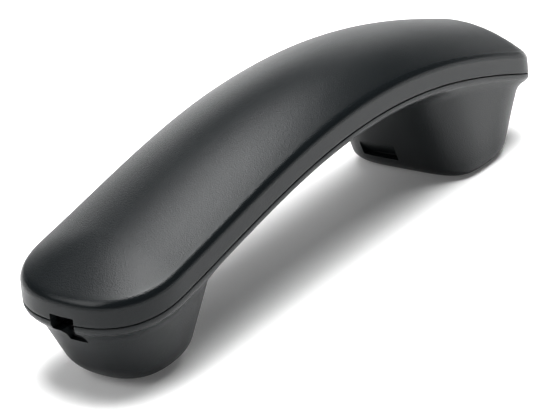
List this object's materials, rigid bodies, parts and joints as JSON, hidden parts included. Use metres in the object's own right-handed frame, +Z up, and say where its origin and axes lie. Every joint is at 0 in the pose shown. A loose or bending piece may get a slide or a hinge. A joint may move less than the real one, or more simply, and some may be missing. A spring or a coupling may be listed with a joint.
{
  "type": "telephone handset",
  "caption": "Corded telephone handset: arched grip with a crowned back, earpiece bowl, mouthpiece bowl, modular jack in the mouthpiece end, and the working parts inside.",
  "frame": {"origin": "centre of the bounding box in plan, on the plane that the earpiece and mouthpiece rest on", "axes": "+X along the handset towards the earpiece, +Y to the left seen from above with +X ahead, +Z up through the crowned back"},
  "size_m": [0.211, 0.048, 0.056],
  "materials": {
    "case_plastic": "fine texture",
    "inner_plastic": "smooth",
    "jack_plastic": "smooth",
    "screw_steel": "zinc plated",
    "soft_steel": "plated",
    "weight_steel": "rolled",
    "magnet": "ground ferrite",
    "mic_aluminium": "drawn",
    "coil_wire": "enamelled",
    "contact_gold": "gold flash",
    "film": "thin film",
    "cloth": "woven",
    "foam": "closed cell",
    "boot_rubber": "moulded",
    "board": "solder mask",
    "pad": "foam tape",
    "lead_red": "insulation",
    "lead_green": "insulation",
    "lead_black": "insulation",
    "lead_yellow": "insulation"
  },
  "bodies": {
    "case": {"rear_cover": "case_plastic", "front_shell": "case_plastic", "cover_screws": "screw_steel", "ear_cloth": "cloth", "ear_gasket": "foam", "receiver_cap": "inner_plastic", "receiver_surround": "film", "receiver_frame": "inner_plastic", "receiver_yoke": "soft_steel", "receiver_magnet": "magnet", "receiver_pole_plate": "soft_steel", "receiver_terminals": "board", "mic_cloth": "cloth", "mic_boot": "boot_rubber", "mic_can": "mic_aluminium", "mic_board": "board", "jack_housing": "jack_plastic", "jack_tails": "contact_gold", "steel_weight": "weight_steel", "weight_pad": "pad", "lead_red": "lead_red", "lead_green": "lead_green", "lead_black": "lead_black", "lead_yellow": "lead_yellow"},
    "diaphragm": {"receiver_dome": "film", "voice_coil": "coil_wire"},
    "wire_1": {"contact_1": "contact_gold"},
    "wire_2": {"contact_2": "contact_gold"},
    "wire_3": {"contact_3": "contact_gold"},
    "wire_4": {"contact_4": "contact_gold"}
  },
  "joints": [
    {"name": "diaphragm_travel", "type": "slide", "parent": "case", "child": "diaphragm", "axis": [0, 0, 1], "range_m": [-0.0002, 0.0002], "stiffness_N_per_m": 400, "deforming": ["receiver_surround"]},
    {"name": "contact_flex_1", "type": "hinge", "parent": "case", "child": "wire_1", "pos_m": [-0.1018, -0.00191, 0.02499], "axis": [0, -1, 0], "range_deg": [0, 12], "stiffness_Nm_per_rad": 0.02},
    {"name": "contact_flex_2", "type": "hinge", "parent": "case", "child": "wire_2", "pos_m": [-0.1018, -0.00064, 0.02499], "axis": [0, -1, 0], "range_deg": [0, 12], "stiffness_Nm_per_rad": 0.02},
    {"name": "contact_flex_3", "type": "hinge", "parent": "case", "child": "wire_3", "pos_m": [-0.1018, 0.00064, 0.02499], "axis": [0, -1, 0], "range_deg": [0, 12], "stiffness_Nm_per_rad": 0.02},
    {"name": "contact_flex_4", "type": "hinge", "parent": "case", "child": "wire_4", "pos_m": [-0.1018, 0.00191, 0.02499], "axis": [0, -1, 0], "range_deg": [0, 12], "stiffness_Nm_per_rad": 0.02}
  ]
}
